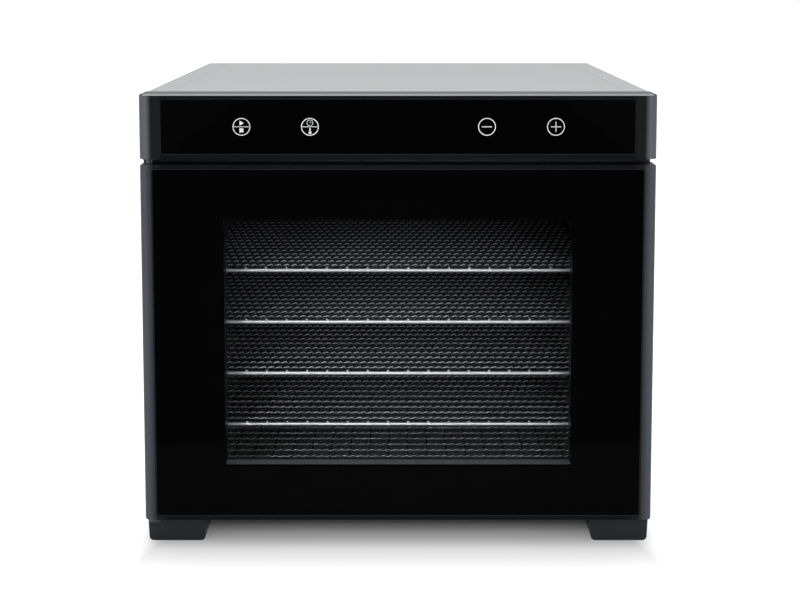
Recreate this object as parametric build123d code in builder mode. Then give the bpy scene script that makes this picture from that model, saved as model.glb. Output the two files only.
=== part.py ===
"""Box food dehydrator: sheet casing, touch control housing, glass door, six wire trays and a rear fan.

Millimetres, Z up. The origin is under the middle of the appliance, on the surface it stands on.
The door faces -Y and is hinged on its left, and air is driven from the fan bay at the rear.
"""
import os
from math import cos, radians, sin

from build123d import *

os.makedirs("parts", exist_ok=True)

# Overall sizes
body_width = 340.0  # across the casing, the door and the control housing
body_depth = 450.0  # from the face of the door to the rear rim of the casing
foot_height = 18.0  # from the floor to the underside of the base pan
sheet = 1.0  # casing sheet metal
moulding = 2.5  # wall of the moulded plastic pieces
seat_clearance = 0.2  # round a piece that drops into a recess
running_clearance = 0.05  # radial, between a shaft or pin and its bush
press_clearance = 0.02  # radial, round a pressed or glued round piece
sliding_clearance = 0.3  # under and around what slides or swings

# Trays
tray_count = 6
tray_pitch = 35.75
tray_rod = 3.0  # rod of the rim, drawn with flats
rod_sides = 6
rod_turn = 90 - 180 / rod_sides  # brings a flat of the rod uppermost
tray_corner = 6.0
tray_side_gap = 3.0  # from the rim of a tray to the wall of the cavity
tray_setback = 40.0  # from the face of the door to the front of the rim
tray_rear_gap = 8.0
net_bevel = 5.0
net_wire = 2.0
net_thickness = 1.6
net_columns = 17
net_rows = 2
first_tray_rise = 13.5  # from the cavity floor to the middle of the lowest rim
last_tray_room = 27.75  # from the middle of the highest rim to the ceiling
drip_height = 7.5
drip_sheet = 0.8

# Cavity
side_bay = 29.0  # from the outside of the casing to the wall of the cavity
floor_rise = 6.8  # from the underside of the base pan to the cavity floor's underside
cavity_sheet = 1.2
liner_sheet = 1.5
ledge_width = 8.0
ledge_thickness = 3.0
ledge_setback = 20.0  # from the front frame to the ends of the ledges and guides
guide_width = 6.0
guide_thickness = 2.0
guide_gap = 1.0  # from the top of a rim to the rib over it

# Door
door_thickness = 22.0
door_gap = 1.7  # from the back of the door to the front frame
door_drop = 1.5  # how far the underside of the door stands over that of the base pan
door_head_gap = 3.8  # between the door and the control housing
door_edge = 6.0  # rounding of the upright edges at the front
door_back_edge = 2.0
door_corner = 1.5
door_wall = 4.0
door_rail = 8.0  # from the side of the door to its glass
glass_margin = 2.6  # from the glass to the top and the bottom of the door
glass_thickness = 4.0
glass_set = 0.2  # how far the glasses lie behind their frames' faces
glass_corner = 2.5
window_side = 46.5  # black border of the glass beside the window
window_head = 34.0
window_foot = 34.5
inner_glass_thickness = 3.0
inner_glass_lap = 6.0
inner_panel_thickness = 2.0
seal_width = 3.5
seal_margin = 0.8
hinge_inset = 6.0  # from the side of the door to the hinge axis
pin_radius = 2.5
pin_depth = 16.0
pin_rise = 7.0
bush_radius = 4.0
bush_flange = 1.2
bush_flange_radius = 5.0
hinge_boss_radius = 5.5
bracket_thickness = 2.0
bracket_half_width = 5.0
bracket_length = 46.0
magnet_length = 30.0
magnet_width = 8.0
magnet_thickness = 4.0
magnet_inset = 20.5  # from the side of the door to the middle of the magnet
magnet_spacing = 120.0
strike_thickness = 1.2

# Front frame and control housing
frame_depth = 18.3
frame_head = 15.3  # from the cavity's ceiling sheet to the control housing
grip_width = 14.0
grip_depth = 12.0
control_height = 42.5
control_depth = 33.0
control_edge = 6.0
control_lip = 1.5
control_glass_side = 14.0
control_glass_margin = 2.8
control_glass_thickness = 3.0
control_window_side = 8.0
control_window_margin = 5.5
board_thickness = 1.6
control_board_gap = 5.3  # between the housing's front wall and the control board
control_board_margin = 25.0
control_board_slack = 1.0
board_boss = 5.0
display_width = 90.0
display_height = 22.0
spring_radius = 4.0
key_places = (-105.0, -59.0, 59.4, 105.3)

# Casing
casing_bend = 3.0  # outer radius where the sides are folded over the top
side_lap = 18.0  # how far a side panel is folded over the top
lap_lip = 14.0
rim_flange = 12.0
pad_length = 50.0
rear_inset = 2.5
vent_length = 46.0
vent_width = 4.0
vent_pitch = 11.0
vent_rows = 8
vent_columns = 3
vent_spacing = 54.0
seat_lip = 6.0  # from the control housing to the lips under the top panel
rim_relief = 8.0  # from a seam to the rim flange of the top panel

# Feet
foot_width = 40.0
foot_depth = 42.0
foot_setback = 18.0
foot_inner_taper = 1.5
foot_outer_taper = 0.8
foot_round = 3.0

# Fan bay
fan_bay_depth = 110.0
bulkhead_sheet = 1.5
grille_rings = ((10, 20.0), (20, 46.0))  # slots in each ring, and where they start from the axis
grille_slot_length = 20.0
grille_slot_width = 5.0
fan_can_radius = 100.0  # from the fan's axis to a side of the can
fan_can_sides = 8
fan_can_depth = 51.5
fan_can_flange = 10.0
fan_radius = 70.0
fan_blades = 8
blade_root = 24.0
blade_bend = 46.0
blade_tip = 66.0
blade_sweep = 8.0
fan_blade_height = 16.0
fan_disc = 1.2
fan_start = 9.0  # from the bulkhead to the front of the blades
fan_hub_radius = 9.0
fan_hub_length = 18.0
shaft_radius = 3.0
heater_radius = 88.0
heater_tube = 3.5
heater_place = 16.0  # from the bulkhead to the middle of the heater's tube
heater_gap_angle = 24.0
heater_leg_end = 12.0
clip_width = 8.0
clip_sheet = 1.2
clip_count = 3
clip_angle = 30.0
motor_post_length = 12.0
motor_post_radius = 4.0
motor_post_place = 27.0
bridge_sheet = 2.0
bridge_height = 22.0
bridge_foot = 4.0
core_depth = 14.0
core_width = 60.0
core_below = 20.0
core_above = 45.0
core_leg = 12.0
core_web = 3.6
core_window_width = 33.0
rotor_radius = 14.0
rotor_gap = 0.4
coil_wall = 7.0
motor_bush_radius = 5.0
motor_bush_length = 6.0
cutout_radius = 8.0
cutout_height = 6.0
cutout_place = 52.0
sensor_radius = 2.5
sensor_reach = 6.0
sensor_tail = 8.0
sensor_collar = 2.0
sensor_from_wall = 26.0
sensor_drop = 16.0
inlet_width = 27.0
inlet_height = 19.0
inlet_wall = 1.8
inlet_depth = 18.0
inlet_flange = 5.0
inlet_flange_thickness = 2.0
inlet_from_side = 50.0
inlet_rise = 38.0
inlet_pin_length = 11.0
inlet_pin_width = 2.0
inlet_pin_height = 4.0
inlet_pin_spread = 7.0
inlet_pin_offset = 2.0

# Electronics over the cavity
power_board_width = 120.0
power_board_depth = 80.0
power_board_rise = 6.0
power_board_corner = 6.0
transformer = (34.0, 30.0, 24.0)
relay = (20.0, 16.0, 16.0)
terminal_block = (40.0, 10.0, 16.0)
capacitor_radius = 6.0
capacitor_height = 16.0

slack = 2 * seat_clearance  # what a recess is larger by than the piece in it

# Heights worked out from the stack of trays
pan_floor = foot_height + sheet
floor_under = foot_height + floor_rise
cavity_floor_z = floor_under + cavity_sheet
first_tray_z = cavity_floor_z + first_tray_rise
last_tray_z = first_tray_z + (tray_count - 1) * tray_pitch
ceiling_z = last_tray_z + last_tray_room
frame_top = ceiling_z + cavity_sheet + frame_head
body_height = frame_top + control_height
door_bottom = foot_height + door_drop
door_top = frame_top - door_head_gap
door_height = door_top - door_bottom
door_middle = (door_top + door_bottom) / 2
control_middle = frame_top + control_height / 2
fan_z = (cavity_floor_z + ceiling_z) / 2
top_under = body_height - sheet

# Widths
half_width = body_width / 2
cavity_half = half_width - side_bay
tray_half = cavity_half - tray_side_gap
inside_half = half_width - sheet
hinge_x = -half_width + hinge_inset
glass_width = body_width - 2 * door_rail
glass_height = door_height - 2 * glass_margin
window_width = glass_width - 2 * window_side
window_height = glass_height - window_head - window_foot
window_middle = door_middle + (window_foot - window_head) / 2

# Depths
front_y = -body_depth / 2
rear_y = body_depth / 2
door_back = front_y + door_thickness
hinge_y = front_y + door_thickness / 2
frame_front = door_back + door_gap
frame_back = frame_front + frame_depth
control_back = front_y + control_depth
panel_back = rear_y - rear_inset
panel_front = panel_back - sheet
bulkhead_front = rear_y - fan_bay_depth
bulkhead_back = bulkhead_front + bulkhead_sheet
tray_front = front_y + tray_setback
tray_back = bulkhead_front - tray_rear_gap
tray_middle = (tray_front + tray_back) / 2
can_back = bulkhead_back + fan_can_depth
can_wall_front = can_back - sheet
bridge_front = can_back + motor_post_length
core_front = bridge_front + bridge_sheet + bridge_foot
core_back = core_front + core_depth
bridge_rear = core_back + bridge_foot

# Rear panel, let in behind the rim
rear_half = inside_half - seat_clearance
rear_low = foot_height + seat_clearance
rear_high = top_under - seat_clearance


on_end = (Align.CENTER, Align.CENTER, Align.MIN)  # stands a solid on its lower end


def upright(y):
    """The plane across the appliance at depth y. What is extruded from it runs to the front."""
    return Plane.XZ.offset(-y)


def fan_plane(y):
    """The upright plane at depth y, with its origin on the axis of the fan."""
    return Plane((0, y, fan_z), x_dir=(1, 0, 0), z_dir=(0, -1, 0))


def write_piece(piece, name):
    """Label a finished piece and write it to its own file."""
    piece.part.label = name
    export_step(piece.part, f"parts/{name}.step")


def peg(x, y, z, radius, length, mode=Mode.ADD):
    """A round rod along Y that starts at y and runs to the rear."""
    with Locations((x, y, z)):
        Cylinder(radius, length, rotation=(-90, 0, 0), align=on_end, mode=mode)


def block(x_range, y_range, z_range, mode=Mode.ADD):
    """A square-edged block between three pairs of faces."""
    x_size, y_size, z_size = (high - low for low, high in (x_range, y_range, z_range))
    with Locations([tuple(sum(pair) / 2 for pair in (x_range, y_range, z_range))]):
        Box(x_size, y_size, z_size, mode=mode)


# Base pan: a folded tray of sheet metal whose pads carry the cavity floor
pan_length = panel_front - frame_back
pan_middle = (panel_front + frame_back) / 2
pad_x = cavity_half - pad_length
pad_y = (tray_back - tray_front) / 2 - pad_length
pad_places = [(x, tray_middle + y) for x in (-pad_x, pad_x) for y in (-pad_y, pad_y)]
with BuildPart() as base_pan:
    with BuildSketch(Plane.XY.offset(foot_height)):
        with Locations((0, pan_middle)):
            Rectangle(2 * inside_half, pan_length)
    extrude(amount=floor_rise)
    offset(amount=-sheet, openings=base_pan.faces().sort_by(Axis.Z)[-1])
    with BuildSketch(Plane.XY.offset(pan_floor)):
        with Locations(pad_places):
            Rectangle(pad_length, pad_length / 2)
    extrude(amount=floor_under - pan_floor)
write_piece(base_pan, "base_pan")

# Feet: four moulded blocks, rounded below, one of them slotted for the hinge bracket
foot_front = front_y + foot_setback
foot_top_inner = half_width - foot_width
bracket_back = hinge_y + bracket_length
with BuildPart() as feet:
    with BuildSketch(upright(foot_front + foot_depth)):
        with BuildLine():
            Polyline(
                (foot_top_inner, foot_height),
                (foot_top_inner + foot_inner_taper, 0),
                (half_width - foot_outer_taper, 0),
                (half_width, foot_height),
                close=True,
            )
        foot = make_face()
        fillet(foot.vertices().group_by(Axis.Z)[0], foot_round)
    extrude(amount=foot_depth)
    mirror(about=Plane.YZ)
    mirror(about=Plane.XZ)
    block(
        (hinge_x - bracket_half_width - seat_clearance, hinge_x + bracket_half_width + seat_clearance),
        (foot_front, bracket_back + seat_clearance),
        (foot_height - bracket_thickness, foot_height),
        mode=Mode.SUBTRACT,
    )
write_piece(feet, "feet")


# Side panels: sheet folded over the top and in behind the rear rim
def side_panel(side):
    """One side of the casing, for side -1 (left) or 1 (right)."""
    middle = half_width - sheet / 2
    with BuildPart() as panel:
        with BuildSketch(upright(rear_y)):
            with BuildLine():
                FilletPolyline(
                    (side * (half_width - side_lap), body_height - sheet / 2),
                    (side * middle, body_height - sheet / 2),
                    (side * middle, foot_height),
                    radius=casing_bend - sheet / 2,
                )
            trace(line_width=sheet)
        extrude(amount=rear_y - control_back)
        notch = sorted((side * inside_half, side * half_width))
        block(notch, (control_back, frame_back), (foot_height, frame_top), mode=Mode.SUBTRACT)
        flange = sorted((side * (inside_half - rim_flange), side * inside_half))
        block(flange, (panel_front - sheet, panel_front), (floor_under, top_under - casing_bend))
    return panel


write_piece(side_panel(-1), "left_side_panel")
write_piece(side_panel(1), "right_side_panel")

# Top panel: lies between the folded sides on lips that run under them
seam = half_width - side_lap - seat_clearance
with BuildPart() as top_panel:
    block((-seam, seam), (control_back, rear_y), (top_under, body_height))
    for side in (-1, 1):
        lip = sorted((side * (seam - lap_lip), side * (seam + lap_lip)))
        block(lip, (control_back + seat_lip, panel_front - 2 * sheet), (top_under - sheet, top_under))
    flange = (rim_relief - seam, seam - rim_relief)
    block(flange, (panel_front - sheet, panel_front), (top_under - rim_flange, top_under))
write_piece(top_panel, "top_panel")

# Rear panel: screwed on inside the rim, with a field of vents behind the motor
inlet_x = half_width - inlet_from_side
inlet_z = foot_height + inlet_rise
with BuildPart() as rear_panel:
    with BuildSketch(upright(panel_back)):
        with Locations((0, (rear_low + rear_high) / 2)):
            RectangleRounded(2 * rear_half, rear_high - rear_low, casing_bend)
        with Locations((0, fan_z)):
            with GridLocations(vent_spacing, vent_pitch, vent_columns, vent_rows):
                Rectangle(vent_length, vent_width, mode=Mode.SUBTRACT)
        with Locations((inlet_x, inlet_z)):
            Rectangle(inlet_width + slack, inlet_height + slack, mode=Mode.SUBTRACT)
    extrude(amount=sheet)
write_piece(rear_panel, "rear_panel")

# Front frame: the moulded bezel round the cavity, stepped back on the right for the fingers
frame_height = frame_top - foot_height
grip_x = half_width - grip_width
strike_x = half_width - magnet_inset
strike_places = [door_middle - magnet_spacing / 2, door_middle + magnet_spacing / 2]
opening_height = ceiling_z - cavity_floor_z
with BuildPart() as front_frame:
    with BuildSketch(upright(frame_back)):
        with Locations((0, foot_height + frame_height / 2)):
            Rectangle(body_width, frame_height)
        with Locations((0, fan_z)):
            Rectangle(2 * cavity_half, opening_height, mode=Mode.SUBTRACT)
    extrude(amount=frame_depth)
    grip = (frame_front, frame_front + grip_depth)
    block((grip_x, half_width), grip, (foot_height, frame_top), mode=Mode.SUBTRACT)
    with BuildSketch(upright(frame_back)):
        with Locations((-grip_width / 2, foot_height + frame_height / 2)):
            Rectangle(body_width - grip_width - 2 * moulding, frame_height - 2 * moulding)
        with Locations((0, fan_z)):
            Rectangle(2 * (cavity_half + moulding), opening_height + 2 * moulding, mode=Mode.SUBTRACT)
    extrude(amount=frame_depth - moulding - strike_thickness, mode=Mode.SUBTRACT)
    for z in strike_places:
        block(
            (strike_x - magnet_width / 2 - seat_clearance, strike_x + magnet_width / 2 + seat_clearance),
            (frame_front, frame_front + strike_thickness),
            (z - magnet_length / 2 - seat_clearance, z + magnet_length / 2 + seat_clearance),
            mode=Mode.SUBTRACT,
        )
write_piece(front_frame, "front_frame")

with BuildPart() as strike_plates:
    with BuildSketch(upright(frame_front + strike_thickness)):
        with Locations([(strike_x, z) for z in strike_places]):
            Rectangle(magnet_width, magnet_length)
    extrude(amount=strike_thickness)
write_piece(strike_plates, "strike_plates")

# Cavity: two ribbed liners, a floor and a ceiling, all butting on the bulkhead
tray_levels = [first_tray_z + number * tray_pitch for number in range(tray_count)]
cavity_length = bulkhead_front - frame_back
cavity_middle = (bulkhead_front + frame_back) / 2


def liner(side):
    """One wall of the cavity, its ledges carrying the trays and its guides keeping them level."""
    with BuildPart() as wall:
        with BuildSketch(upright(bulkhead_front)):
            with Locations((side * (cavity_half + liner_sheet / 2), fan_z)):
                Rectangle(liner_sheet, opening_height)
        extrude(amount=cavity_length)
        with BuildSketch(upright(bulkhead_front)):
            for level in tray_levels:
                ledge_top = level - tray_rod / 2 - sliding_clearance
                with Locations((side * (cavity_half - ledge_width / 2), ledge_top - ledge_thickness / 2)):
                    Rectangle(ledge_width, ledge_thickness)
                guide_under = level + tray_rod / 2 + guide_gap
                with Locations((side * (cavity_half - guide_width / 2), guide_under + guide_thickness / 2)):
                    Rectangle(guide_width, guide_thickness)
        extrude(amount=cavity_length - ledge_setback)
    return wall


write_piece(liner(-1), "left_liner")
write_piece(liner(1), "right_liner")

cavity_outer = cavity_half + liner_sheet
with BuildPart() as cavity_floor:
    with BuildSketch(Plane.XY.offset(floor_under)):
        with Locations((0, cavity_middle)):
            Rectangle(2 * cavity_outer, cavity_length)
    extrude(amount=cavity_sheet)
write_piece(cavity_floor, "cavity_floor")

power_board_places = [
    (x, cavity_middle + y)
    for x in (power_board_corner - power_board_width / 2, power_board_width / 2 - power_board_corner)
    for y in (power_board_corner - power_board_depth / 2, power_board_depth / 2 - power_board_corner)
]
with BuildPart() as cavity_ceiling:
    with BuildSketch(Plane.XY.offset(ceiling_z)):
        with Locations((0, cavity_middle)):
            Rectangle(2 * cavity_outer, cavity_length)
    extrude(amount=cavity_sheet)
    with BuildSketch(Plane.XY.offset(ceiling_z + cavity_sheet)):
        with Locations(power_board_places):
            Rectangle(board_boss, board_boss)
    extrude(amount=power_board_rise)
write_piece(cavity_ceiling, "cavity_ceiling")

# Bulkhead: closes the cavity behind the trays, with a sunburst of slots in front of the fan
bulkhead_half = inside_half - sliding_clearance
bulkhead_low = pan_floor
bulkhead_high = top_under - sheet - sliding_clearance
sensor_x = cavity_half - sensor_from_wall
sensor_z = ceiling_z - sensor_drop
with BuildPart() as rear_baffle:
    with BuildSketch(upright(bulkhead_back)):
        with Locations((0, (bulkhead_low + bulkhead_high) / 2)):
            Rectangle(2 * bulkhead_half - 2 * sheet, bulkhead_high - bulkhead_low)
        with Locations((0, fan_z)):
            for slots, start in grille_rings:
                with PolarLocations(start + grille_slot_length / 2, slots):
                    Rectangle(grille_slot_length, grille_slot_width, mode=Mode.SUBTRACT)
        with Locations((sensor_x, sensor_z)):
            Circle(sensor_radius + press_clearance, mode=Mode.SUBTRACT)
    extrude(amount=bulkhead_sheet)
write_piece(rear_baffle, "rear_baffle")

with BuildPart() as temperature_sensor:
    probe_length = sensor_reach + bulkhead_sheet + sensor_tail
    peg(sensor_x, bulkhead_front - sensor_reach, sensor_z, sensor_radius, probe_length)
    peg(sensor_x, bulkhead_back, sensor_z, 2 * sensor_radius, sensor_collar)
write_piece(temperature_sensor, "temperature_sensor")

def can_outline(radius, mode=Mode.ADD):
    """The eight-sided outline of the fan can, radius being that of the circle in it."""
    RegularPolygon(radius, fan_can_sides, major_radius=False, rotation=180 / fan_can_sides, mode=mode)


# Fan can: an eight-sided sheet box behind the bulkhead that holds the heater and carries the motor
fan_axis = Axis((0, 0, fan_z), (0, 1, 0))
half_gap = radians(heater_gap_angle / 2)
heater_leg_x = heater_radius * sin(half_gap)
heater_leg_z = fan_z + heater_radius * cos(half_gap)
with BuildPart() as fan_housing:
    with BuildSketch(fan_plane(can_back)):
        can_outline(fan_can_radius)
    extrude(amount=fan_can_depth)
    offset(amount=-sheet, openings=fan_housing.faces().sort_by(Axis.Y)[0])
    with BuildSketch(fan_plane(bulkhead_back + sheet)):
        can_outline(fan_can_radius + fan_can_flange)
        can_outline(fan_can_radius, mode=Mode.SUBTRACT)
    extrude(amount=sheet)
    peg(0, can_wall_front, fan_z, 2 * shaft_radius, sheet, mode=Mode.SUBTRACT)
    for x in (-heater_leg_x, heater_leg_x):
        peg(x, can_wall_front, heater_leg_z, heater_tube + press_clearance, sheet, mode=Mode.SUBTRACT)
write_piece(fan_housing, "fan_housing")

# Heater: one tube bent into a ring round the fan, its two ends brought out through the can
heater_y = bulkhead_back + heater_place
heater_leg_length = can_back - heater_y + heater_tube + heater_leg_end
with BuildPart() as heater_element:
    with BuildSketch(Plane((0, 0, fan_z), x_dir=(0, 1, 0), z_dir=(cos(half_gap), 0, -sin(half_gap)))):
        with Locations((heater_y, heater_radius)):
            RegularPolygon(heater_tube, rod_sides, major_radius=False, rotation=180 / rod_sides)
    revolve(axis=fan_axis, revolution_arc=360 - heater_gap_angle)
    for x in (-heater_leg_x, heater_leg_x):
        peg(x, heater_y - heater_tube, heater_leg_z, heater_tube, heater_leg_length)
write_piece(heater_element, "heater_element")

# Heater clips: strips welded to the back of the can, their ends under the tube
with BuildPart() as heater_clips:
    with BuildSketch(fan_plane(can_wall_front)):
        with PolarLocations(heater_radius, clip_count, start_angle=clip_angle):
            Rectangle(clip_sheet, clip_width)
    extrude(amount=can_wall_front - heater_y - heater_tube)
    with BuildSketch(fan_plane(can_wall_front)):
        with PolarLocations(heater_radius - clip_width / 2, clip_count, start_angle=clip_angle):
            Rectangle(clip_width, clip_width)
    extrude(amount=clip_sheet)
write_piece(heater_clips, "heater_clips")

# Motor: a shaded-pole motor on posts behind the can, its bridges holding the two shaft bushes
bridge_width = 2 * (motor_post_place + motor_post_radius + bridge_sheet)
with BuildPart() as motor_posts:
    for x in (-motor_post_place, motor_post_place):
        peg(x, can_back, fan_z, motor_post_radius, motor_post_length)
write_piece(motor_posts, "motor_posts")

with BuildPart() as motor_bridges:
    for y in (bridge_front, bridge_rear):
        with BuildSketch(fan_plane(y + bridge_sheet)):
            Rectangle(bridge_width, bridge_height)
            Circle(motor_bush_radius + press_clearance, mode=Mode.SUBTRACT)
        extrude(amount=bridge_sheet)
    for x in (-motor_post_place, motor_post_place):
        peg(x, bridge_front + bridge_sheet, fan_z, motor_post_radius, bridge_foot)
        peg(x, core_back, fan_z, motor_post_radius, bridge_foot)
write_piece(motor_bridges, "motor_bridges")

with BuildPart() as motor_bushes:
    for y in (bridge_front, bridge_rear):
        middle = y + bridge_sheet / 2
        with BuildSketch(fan_plane(middle + motor_bush_length / 2)):
            Circle(motor_bush_radius)
            Circle(shaft_radius + running_clearance, mode=Mode.SUBTRACT)
        extrude(amount=motor_bush_length)
write_piece(motor_bushes, "motor_bushes")

core_window_top = core_above - core_leg
core_window_low = rotor_radius + rotor_gap + core_web
with BuildPart() as motor_core:
    with BuildSketch(fan_plane(core_back)):
        with Locations((0, (core_above - core_below) / 2)):
            Rectangle(core_width, core_above + core_below)
        with Locations((0, (core_window_top + core_window_low) / 2)):
            Rectangle(core_window_width, core_window_top - core_window_low, mode=Mode.SUBTRACT)
        Circle(rotor_radius + rotor_gap, mode=Mode.SUBTRACT)
    extrude(amount=core_depth)
write_piece(motor_core, "motor_core")

coil_z = fan_z + core_above - core_leg / 2
with BuildPart() as motor_coil:
    with BuildSketch(Plane.YZ):
        with Locations(((core_front + core_back) / 2, coil_z)):
            RectangleRounded(core_depth + 2 * coil_wall, core_leg + 2 * coil_wall, coil_wall / 2)
            Rectangle(core_depth + 2 * press_clearance, core_leg + 2 * press_clearance, mode=Mode.SUBTRACT)
    extrude(amount=core_window_width / 2 - seat_clearance, both=True)
write_piece(motor_coil, "motor_coil")

with BuildPart() as thermal_cutout:
    peg(cutout_place, can_back, fan_z - cutout_place, cutout_radius, cutout_height)
    peg(cutout_place, can_back + cutout_height, fan_z - cutout_place, cutout_radius / 2, cutout_height / 2)
    with BuildSketch(upright(can_back + sheet)):
        with Locations((cutout_place, fan_z - cutout_place)):
            Rectangle(4 * cutout_radius, cutout_radius)
    extrude(amount=sheet)
write_piece(thermal_cutout, "thermal_cutout")

# Fan and shaft: a pressed disc with bent blades on the rotor's shaft
fan_front = bulkhead_back + fan_start
fan_disc_front = fan_front + fan_blade_height
hub_front = fan_disc_front + fan_disc - fan_hub_length / 2
with BuildSketch() as blade:
    with BuildLine():
        Polyline((blade_root, 0), (blade_bend, blade_sweep), (blade_tip, blade_sweep))
    trace(line_width=fan_disc)
with BuildPart() as fan_impeller:
    with BuildSketch(fan_plane(fan_disc_front + fan_disc)):
        Circle(fan_radius)
    extrude(amount=fan_disc)
    with BuildSketch(fan_plane(fan_disc_front)):
        with PolarLocations(0, fan_blades):
            add(blade.sketch)
    extrude(amount=fan_blade_height)
    peg(0, hub_front, fan_z, fan_hub_radius, fan_hub_length)
    peg(0, hub_front, fan_z, shaft_radius + press_clearance, fan_hub_length, mode=Mode.SUBTRACT)
write_piece(fan_impeller, "fan_impeller")

shaft_front = hub_front - fan_disc
shaft_back = bridge_rear + bridge_sheet + motor_bush_length
with BuildPart() as motor_shaft:
    peg(0, shaft_front, fan_z, shaft_radius, shaft_back - shaft_front)
    peg(0, core_front, fan_z, rotor_radius, core_depth)
write_piece(motor_shaft, "motor_shaft")

# Power inlet: a three-pin socket let into the rear panel from inside
inlet_back = rear_y - glass_set
inlet_front = inlet_back - inlet_depth
inlet_pins = [(side * inlet_pin_spread, (1 - 2 * abs(side)) * inlet_pin_offset) for side in (-1, 0, 1)]
with BuildPart() as power_inlet:
    with BuildSketch(upright(inlet_back)):
        with Locations((inlet_x, inlet_z)):
            Rectangle(inlet_width, inlet_height)
    extrude(amount=inlet_depth)
    with BuildSketch(upright(panel_front)):
        with Locations((inlet_x, inlet_z)):
            Rectangle(inlet_width + 2 * inlet_flange, inlet_height + 2 * inlet_flange)
    extrude(amount=inlet_flange_thickness)
    with BuildSketch(upright(inlet_back)):
        with Locations((inlet_x, inlet_z)):
            Rectangle(inlet_width - 2 * inlet_wall, inlet_height - 2 * inlet_wall)
    extrude(amount=inlet_depth - inlet_wall, mode=Mode.SUBTRACT)
    with BuildSketch(upright(inlet_front + inlet_wall + inlet_pin_length)):
        with Locations((inlet_x, inlet_z)):
            with Locations(*inlet_pins):
                Rectangle(inlet_pin_width, inlet_pin_height)
    extrude(amount=inlet_pin_length)
write_piece(power_inlet, "power_inlet")

# Control housing: a moulded hood over the door, its face let in for the touch glass
control_front_wall = front_y + glass_set + control_glass_thickness
control_inside = control_front_wall + moulding
control_glass_width = body_width - 2 * control_glass_side
control_glass_height = control_height - 2 * control_glass_margin
control_window_width = control_glass_width - 2 * control_window_side
control_window_height = control_glass_height - 2 * control_window_margin
board_front = control_inside + control_board_gap
board_half = half_width - control_board_margin
board_boss_x = board_half - 2 * board_boss
board_boss_z = (control_height / 2 - moulding + control_window_height / 2) / 2
upper_bush_length = pin_rise + bush_flange
with BuildPart() as control_housing:
    with BuildSketch(Plane.XY.offset(frame_top)):
        with Locations((0, (front_y + control_back) / 2)):
            Rectangle(body_width, control_depth)
    extrude(amount=control_height)
    fillet(control_housing.edges().filter_by(Axis.Z).group_by(Axis.Y)[0], control_edge)
    top_edges = control_housing.faces().sort_by(Axis.Z)[-1].edges()
    fillet(top_edges.filter_by(lambda edge: edge.center().Y < control_back - control_lip), control_lip)
    block(
        (-half_width + moulding, half_width - moulding),
        (control_inside, control_back),
        (frame_top + moulding, body_height - moulding),
        mode=Mode.SUBTRACT,
    )
    with BuildSketch(upright(control_front_wall)):
        with Locations((0, control_middle)):
            RectangleRounded(control_glass_width + slack, control_glass_height + slack, glass_corner)
    extrude(amount=control_glass_thickness + glass_set, mode=Mode.SUBTRACT)
    with BuildSketch(upright(control_inside)):
        with Locations((0, control_middle)):
            Rectangle(control_window_width, control_window_height)
    extrude(amount=moulding, mode=Mode.SUBTRACT)
    with BuildSketch(upright(board_front)):
        with Locations((0, control_middle)):
            with GridLocations(2 * board_boss_x, 2 * board_boss_z, 2, 2):
                Rectangle(board_boss, board_boss)
    extrude(amount=control_board_gap)
    with Locations((hinge_x, hinge_y, frame_top)):
        Cylinder(hinge_boss_radius, upper_bush_length, align=on_end)
        Cylinder(
            bush_radius + press_clearance,
            upper_bush_length,
            align=on_end,
            mode=Mode.SUBTRACT,
        )
write_piece(control_housing, "control_housing")

with BuildPart() as control_glass:
    with BuildSketch(upright(control_front_wall)):
        with Locations((0, control_middle)):
            RectangleRounded(control_glass_width, control_glass_height, glass_corner)
    extrude(amount=control_glass_thickness)
write_piece(control_glass, "control_glass")

with BuildPart() as control_board:
    with BuildSketch(upright(board_front + board_thickness)):
        with Locations((0, control_middle)):
            Rectangle(2 * board_half, control_height - 2 * moulding - 2 * control_board_slack)
    extrude(amount=board_thickness)
write_piece(control_board, "control_board")

with BuildPart() as display_module:
    with BuildSketch(upright(board_front)):
        with Locations((0, control_middle)):
            Rectangle(display_width, display_height)
    extrude(amount=board_front - control_front_wall - seat_clearance)
write_piece(display_module, "display_module")

with BuildPart() as touch_springs:
    with BuildSketch(upright(board_front)):
        with Locations([(x, control_middle) for x in key_places]):
            Circle(spring_radius)
    extrude(amount=board_front - control_front_wall)
write_piece(touch_springs, "touch_springs")

# Power board: stands on the bosses of the cavity's ceiling
power_board_z = ceiling_z + cavity_sheet + power_board_rise
power_board_top = power_board_z + board_thickness
with BuildPart() as power_board:
    with BuildSketch(Plane.XY.offset(power_board_z)):
        with Locations((0, cavity_middle)):
            Rectangle(power_board_width, power_board_depth)
    extrude(amount=board_thickness)
write_piece(power_board, "power_board")

with BuildPart() as board_parts:
    with Locations((-power_board_width / 4, cavity_middle, power_board_top)):
        Box(*transformer, align=on_end)
    with Locations((power_board_width / 6, cavity_middle + power_board_depth / 4, power_board_top)):
        Box(*relay, align=on_end)
    with Locations((power_board_width / 6, cavity_middle - power_board_depth / 4, power_board_top)):
        Box(*terminal_block, align=on_end)
    with Locations((power_board_width / 3, cavity_middle, power_board_top)):
        Cylinder(capacitor_radius, capacitor_height, align=on_end)
write_piece(board_parts, "board_parts")

# Hinge: the door turns on a pin in the housing above and on a pin of the bracket below
lower_pin_top = door_bottom + pin_depth - 2 * bush_flange
with BuildPart() as upper_hinge_bush:
    with BuildSketch(Plane.XY.offset(frame_top - bush_flange)):
        with Locations((hinge_x, hinge_y)):
            Circle(bush_flange_radius)
            Circle(pin_radius + running_clearance, mode=Mode.SUBTRACT)
    extrude(amount=bush_flange)
    with BuildSketch(Plane.XY.offset(frame_top)):
        with Locations((hinge_x, hinge_y)):
            Circle(bush_radius)
            Circle(pin_radius + running_clearance, mode=Mode.SUBTRACT)
    extrude(amount=upper_bush_length)
write_piece(upper_hinge_bush, "upper_hinge_bush")

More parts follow.
